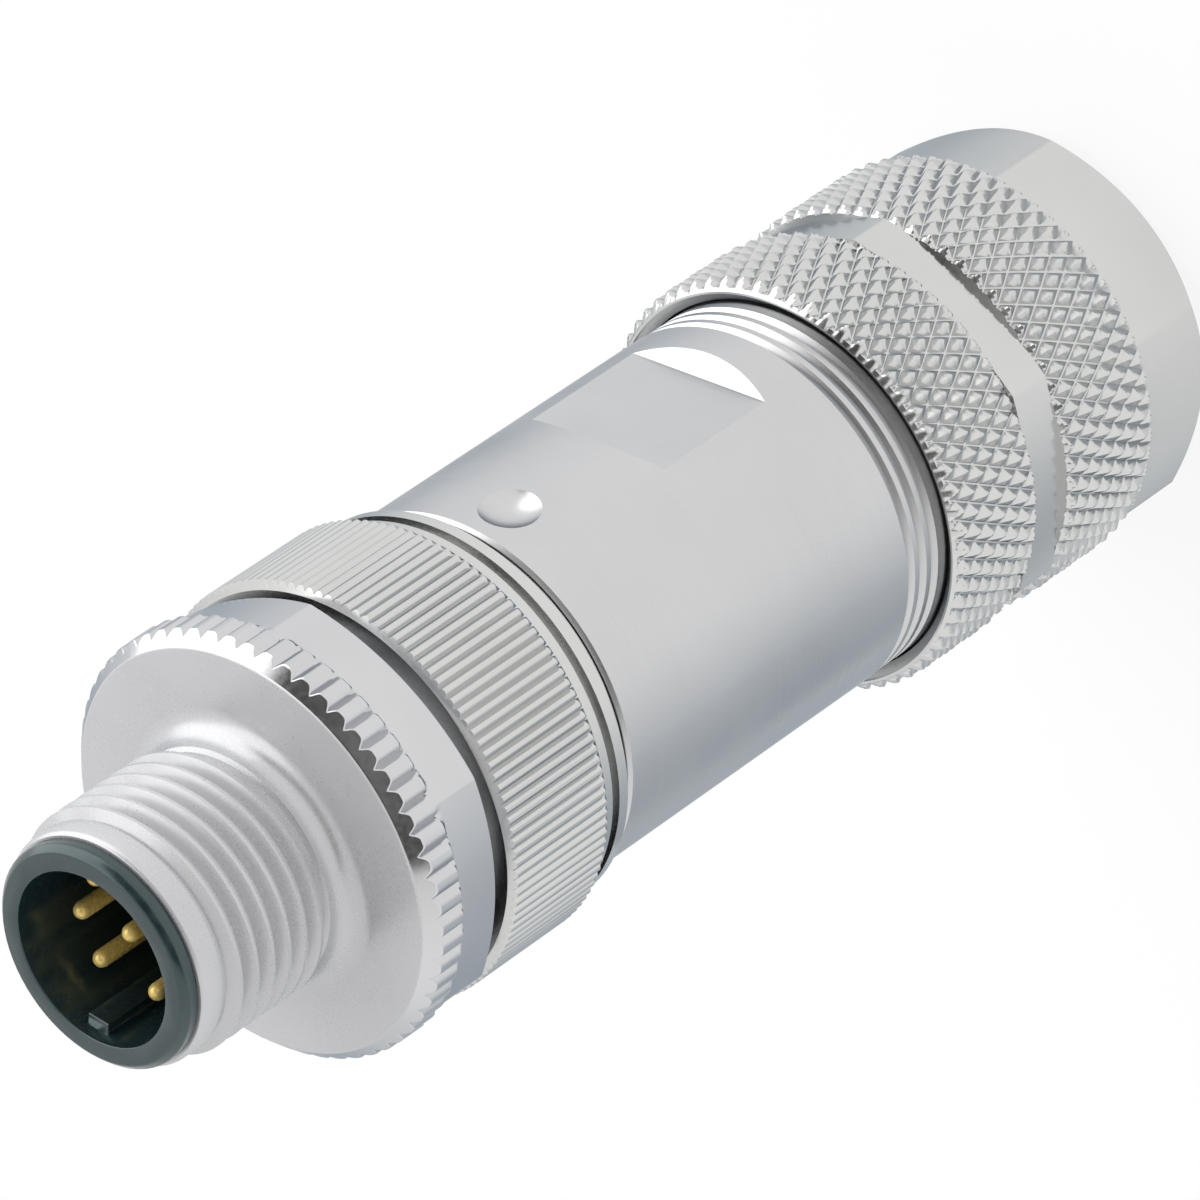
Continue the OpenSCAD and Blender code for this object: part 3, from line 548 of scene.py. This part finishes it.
# %% Front ring
FLUTES, COLUMNS_PER_FLUTE, FLUTE_DEPTH, FLUTE_HALF = 120, 8, 0.2, 0.62
RING_R, RING_BEVEL_W, RING_BEVEL_LEN, REAR_BEVEL = 9.98, 0.42, 0.18, 0.3
COLLAR_LEN, RIB_R, RIB_W, RIB_STEP, COLLAR_R = 2.4, 9.45, 0.55, 1.0, 8.75
SPIGOT_R, WIRING_R, WEB_LEN, STEM_BORE_R, HUB_R = 7.8, 6.6, 5.1, 4.35, 6.4
SPIGOT_GROOVE_FROM, SPIGOT_GROOVE_W, SPIGOT_GROOVE_DEPTH = 1.85, 0.9, 0.75
HUB_GROOVE_FROM, HUB_GROOVE_W, HUB_GROOVE_DEPTH = 1.4, 0.8, 0.65
SLEEVE_GAP, EDGE_ROW = 0.05, 0.05
RING_COLUMNS = FLUTES * COLUMNS_PER_FLUTE
flute_phase = (np.arange(RING_COLUMNS) / COLUMNS_PER_FLUTE) % 1
flute_r = RING_R - FLUTE_DEPTH * (1 - np.clip(np.abs(2 * flute_phase - 1) / FLUTE_HALF, 0, 1))
band_start = sleeve_front + COLLAR_LEN


def step_rows(level, radius, width, outer):
    """Four rows of a square groove or rib: it is width wide, starts at level and reaches the radius outer."""
    return [(level, radius), (level, outer), (level + width, outer), (level + width, radius)]


rows = [(spigot_end, WIRING_R), (spigot_end, SPIGOT_R)]
rows += step_rows(sleeve_front - SPIGOT_GROOVE_FROM, SPIGOT_R, SPIGOT_GROOVE_W,
                  SPIGOT_R - SPIGOT_GROOVE_DEPTH)
rows += [(sleeve_front + SLEEVE_GAP, SPIGOT_R), (sleeve_front + SLEEVE_GAP, COLLAR_R)]
for number in (1, 2):
    rows += step_rows(sleeve_front + number * RIB_STEP - RIB_W / 2, COLLAR_R, RIB_W, RIB_R)
rows += [
    (band_start, COLLAR_R), (band_start, RING_R - REAR_BEVEL), (band_start + REAR_BEVEL, flute_r),
    (band_start + REAR_BEVEL + EDGE_ROW, flute_r),
]
ring_face_r = RING_R - RING_BEVEL_W
bevel_level = ring_face - (flute_r - ring_face_r) * RING_BEVEL_LEN / RING_BEVEL_W
rows += [
    (bevel_level - EDGE_ROW, flute_r), (bevel_level, flute_r), (ring_face, ring_face_r), (ring_face, HUB_R),
]
rows += step_rows(ring_face + HUB_GROOVE_FROM, HUB_R, HUB_GROOVE_W, HUB_R - HUB_GROOVE_DEPTH)
rows += [
    (hub_end, HUB_R), (hub_end, STEM_BORE_R), (ring_face - WEB_LEN, STEM_BORE_R),
    (ring_face - WEB_LEN, WIRING_R),
]
RING_BODY = "housing"
ring_skin("front_ring_fluted", rows, RING_COLUMNS, RING_BODY, ["front_ring"], crease=18)

# %% [markdown]
# ## Contact carrier
#
# The carrier is moulded in black plastic. A moulding never has knife edges, and the soft light lines along
# its lip and its key tell the eye that it is plastic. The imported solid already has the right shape, so a
# copy of it is cleaned and its open edges are rounded by a Bevel modifier. Only edges that stand in the
# mouth are chosen, by their height, so the holes of the pins deep inside keep their fit.

# %% Contact carrier
LIP_ROUND, ROUND_STEPS, MOUTH_DEPTH, LEAST_BEND = 0.13, 3, 9.0, 35
SAME_PLACE, SAME_PLANE = 0.0005 * MM, math.radians(0.5)


def soft_edged(node, name, body, width, lowest, bend):
    """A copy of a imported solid, with the edges that lie above the height lowest and bend more than bend
    degrees rounded by width mm."""
    mesh = bpy.data.meshes.new(name)
    form = bmesh.new()
    form.from_mesh(nodes[node].data)
    bmesh.ops.remove_doubles(form, verts=form.verts, dist=SAME_PLACE)
    bmesh.ops.dissolve_limit(form, angle_limit=SAME_PLANE, verts=form.verts, edges=form.edges)
    weight = form.edges.layers.float.new("bevel_weight_edge")
    chosen = 0
    for edge in form.edges:
        sharp = len(edge.link_faces) == 2 and edge.calc_face_angle(0) > math.radians(bend)
        convex = sharp and edge.is_convex
        if convex and max(v.co.z for v in edge.verts) > lowest * MM:
            edge[weight] = 1
            chosen += 1
        elif sharp:
            edge.smooth = False
    for face in form.faces:
        face.smooth = True
    form.to_mesh(mesh)
    form.free()
    piece = bpy.data.objects.new(name, mesh)
    bpy.context.scene.collection.objects.link(piece)
    rounding = piece.modifiers.new("rounding", "BEVEL")
    rounding.limit_method, rounding.width, rounding.segments = "WEIGHT", width * MM, ROUND_STEPS
    rounding.harden_normals = True
    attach(piece, body)
    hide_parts(node)
    print(name, len(mesh.vertices), "points,", chosen, "edges rounded")
    return piece


soft_edged("contact_carrier", "contact_carrier_moulded", RING_BODY, LIP_ROUND,
           plug_len - MOUTH_DEPTH, LEAST_BEND)

# %% [markdown]
# ## Plated metals
#
# All the bright pieces are plated with nickel, but they were made in different ways, and the plating keeps
# the marks. So one recipe makes all of them: a metal whose roughness varies with a fine noise and whose tone
# drifts slowly. The nickel's edge tint, a cool grey, is painted shade: it darkens the reflection towards each
# outline. The noise is stretched into rings where a lathe cut it, and left even on the casting. The casting
# is also much duller on its untouched front than on its turned bevel, and the height tells which. The gold
# and that dull front are less than fully metallic, because pure metal would only show the dark parts of the
# room there.

# %% Plated metals
NOISE_FINE, NOISE_SLOW, GRAIN_DEPTH = 4000.0, 180.0, 0.00002
NOISE_RANGE, METAL_TONES, DULL_EDGE = (0.6, 1.4), (0.94, 1.04), (0.06, 0.01)


def metal(name, color, roughness, grain=(1, 1, 1), bump=0.1, spread=0.04, edge=(0.45, 0.5, 0.55),
          metallic=1, duller=None):
    """A plated metal: roughness plus or minus spread, a tone between 94 and 104 percent, and bump as the
    strength of its grain. duller is a height in mm, and above it the roughness to add and how metallic the
    surface still is."""
    material, tree, shader = new_material(name)
    coords = tree.nodes.new("ShaderNodeTexCoord").outputs["Object"]
    stretched = add_node(tree, "ShaderNodeMapping", Vector=coords, Scale=grain).outputs[0]
    fine = add_node(tree, "ShaderNodeTexNoise", Vector=stretched, Scale=NOISE_FINE, Detail=3.0).outputs[0]
    slow = add_node(tree, "ShaderNodeTexNoise", Vector=coords, Scale=NOISE_SLOW, Detail=2.0).outputs[0]
    noise = reckon(tree, "ADD", fine, slow)
    rough = ramp(tree, noise, *NOISE_RANGE, roughness - spread, roughness + spread)
    shader.inputs["Metallic"].default_value = metallic
    if duller:
        level, added, left_metallic = duller
        height = add_node(tree, "ShaderNodeSeparateXYZ", Vector=coords).outputs[2]
        above = ramp(tree, height, (level - DULL_EDGE[0]) * MM, (level - DULL_EDGE[1]) * MM)
        rough = reckon(tree, "ADD", rough, reckon(tree, "MULTIPLY", above, added))
        tree.links.new(ramp(tree, above, 0, 1, metallic, left_metallic), shader.inputs["Metallic"])
    tree.links.new(rough, shader.inputs["Roughness"])
    tone = add_node(tree, "ShaderNodeVectorMath", i0=color)
    tone.operation = "SCALE"
    tree.links.new(ramp(tree, slow, 0, 1, *METAL_TONES), tone.inputs["Scale"])
    tree.links.new(tone.outputs[0], shader.inputs["Base Color"])
    # The edge tint is painted shade: a cool grey that darkens each metal's reflection towards its outline.
    # The gold's white edge adds none.
    shader.inputs["Specular Tint"].default_value = (*edge, 1)
    lift = add_node(tree, "ShaderNodeBump", Height=fine, Strength=bump, Distance=GRAIN_DEPTH)
    tree.links.new(lift.outputs[0], shader.inputs["Normal"])
    return material


RINGS = (0.03, 0.03, 1.5)
finishes = {
    "cast_nickel": metal("cast nickel", (0.65, 0.65, 0.66), 0.17, bump=0.05,
                         duller=(flange_face, 0.12, 0.45)),
    "turned_nickel": metal("turned nickel", (0.68, 0.68, 0.67), 0.2),
    "satin_nickel": metal("satin nickel", (0.66, 0.66, 0.665), 0.32, grain=RINGS, bump=0.2, spread=0.06),
    "contact_gold": metal("contact gold", (1.0, 0.74, 0.24), 0.26, bump=0.03, edge=(1, 1, 1), metallic=0.3),
}
print("metals:", ", ".join(finishes))

# %% [markdown]
# ## Plastics and rubber
#
# A moulded surface is dull in colour and takes its light from a thin even gloss. A fine noise breaks that
# gloss up. The black of the carrier is deep, so that its bore stays nearly black, and its gloss is raised,
# so that the lip, which faces the room, still shows as a cool grey.

# %% Plastics and rubber
GLOSS_SPREAD, MOULDED_TONES = 0.08, (0.85, 1.15)


def moulded(name, color, roughness, gloss=0.5, tint=(1, 1, 1), bump=0.15, grain=2500.0):
    """A moulded plastic or rubber: a colour, a roughness that varies by GLOSS_SPREAD, and a fine grain."""
    material, tree, shader = new_material(name)
    coords = tree.nodes.new("ShaderNodeTexCoord").outputs["Object"]
    fine = add_node(tree, "ShaderNodeTexNoise", Vector=coords, Scale=grain, Detail=3.0).outputs[0]
    lift = add_node(tree, "ShaderNodeBump", Height=fine, Strength=bump, Distance=GRAIN_DEPTH)
    tree.links.new(lift.outputs[0], shader.inputs["Normal"])
    rough = ramp(tree, fine, 0, 1, roughness - GLOSS_SPREAD, roughness + GLOSS_SPREAD)
    tree.links.new(rough, shader.inputs["Roughness"])
    shade = add_node(tree, "ShaderNodeVectorMath", i0=color)
    shade.operation = "SCALE"
    tree.links.new(ramp(tree, fine, 0, 1, *MOULDED_TONES), shade.inputs["Scale"])
    tree.links.new(shade.outputs[0], shader.inputs["Base Color"])
    shader.inputs["Specular IOR Level"].default_value = gloss
    shader.inputs["Specular Tint"].default_value = (*tint, 1)
    return material


finishes["black_plastic"] = moulded("black plastic", (0.01, 0.024, 0.028), 0.24, gloss=1.0,
                                    tint=(0.85, 1, 1), bump=0.08)
finishes["grey_plastic"] = moulded("grey plastic", (0.25, 0.26, 0.27), 0.5)
finishes["black_rubber"] = moulded("black rubber", (0.02, 0.02, 0.02), 0.6, bump=0.3, grain=1500.0)
print("finishes:", ", ".join(finishes))

# %% [markdown]
# ## Each piece gets its finish
#
# The imported record names a slot for every solid, and each new piece takes the slot of the solid it stands
# for. So one short loop gives every visible object the material of its slot, and no piece can be forgotten.

# %% Give the finishes
slots = {part["node"]: part["material_slot"] for part in frame["record"]["subparts"]}
new_pieces = {
    "thrust_nut_knurled": "thrust_nut", "coupling_screw_body": "coupling_screw",
    "coupling_thread": "coupling_screw", "front_ring_fluted": "front_ring",
    "contact_carrier_moulded": "contact_carrier",
}
wearers = {**nodes, **{name: bpy.data.objects[name] for name in new_pieces}}
for name, obj in wearers.items():
    obj.data.materials.clear()
    obj.data.materials.append(finishes[slots[new_pieces.get(name, name)]])
print(len(wearers), "objects have their finish")
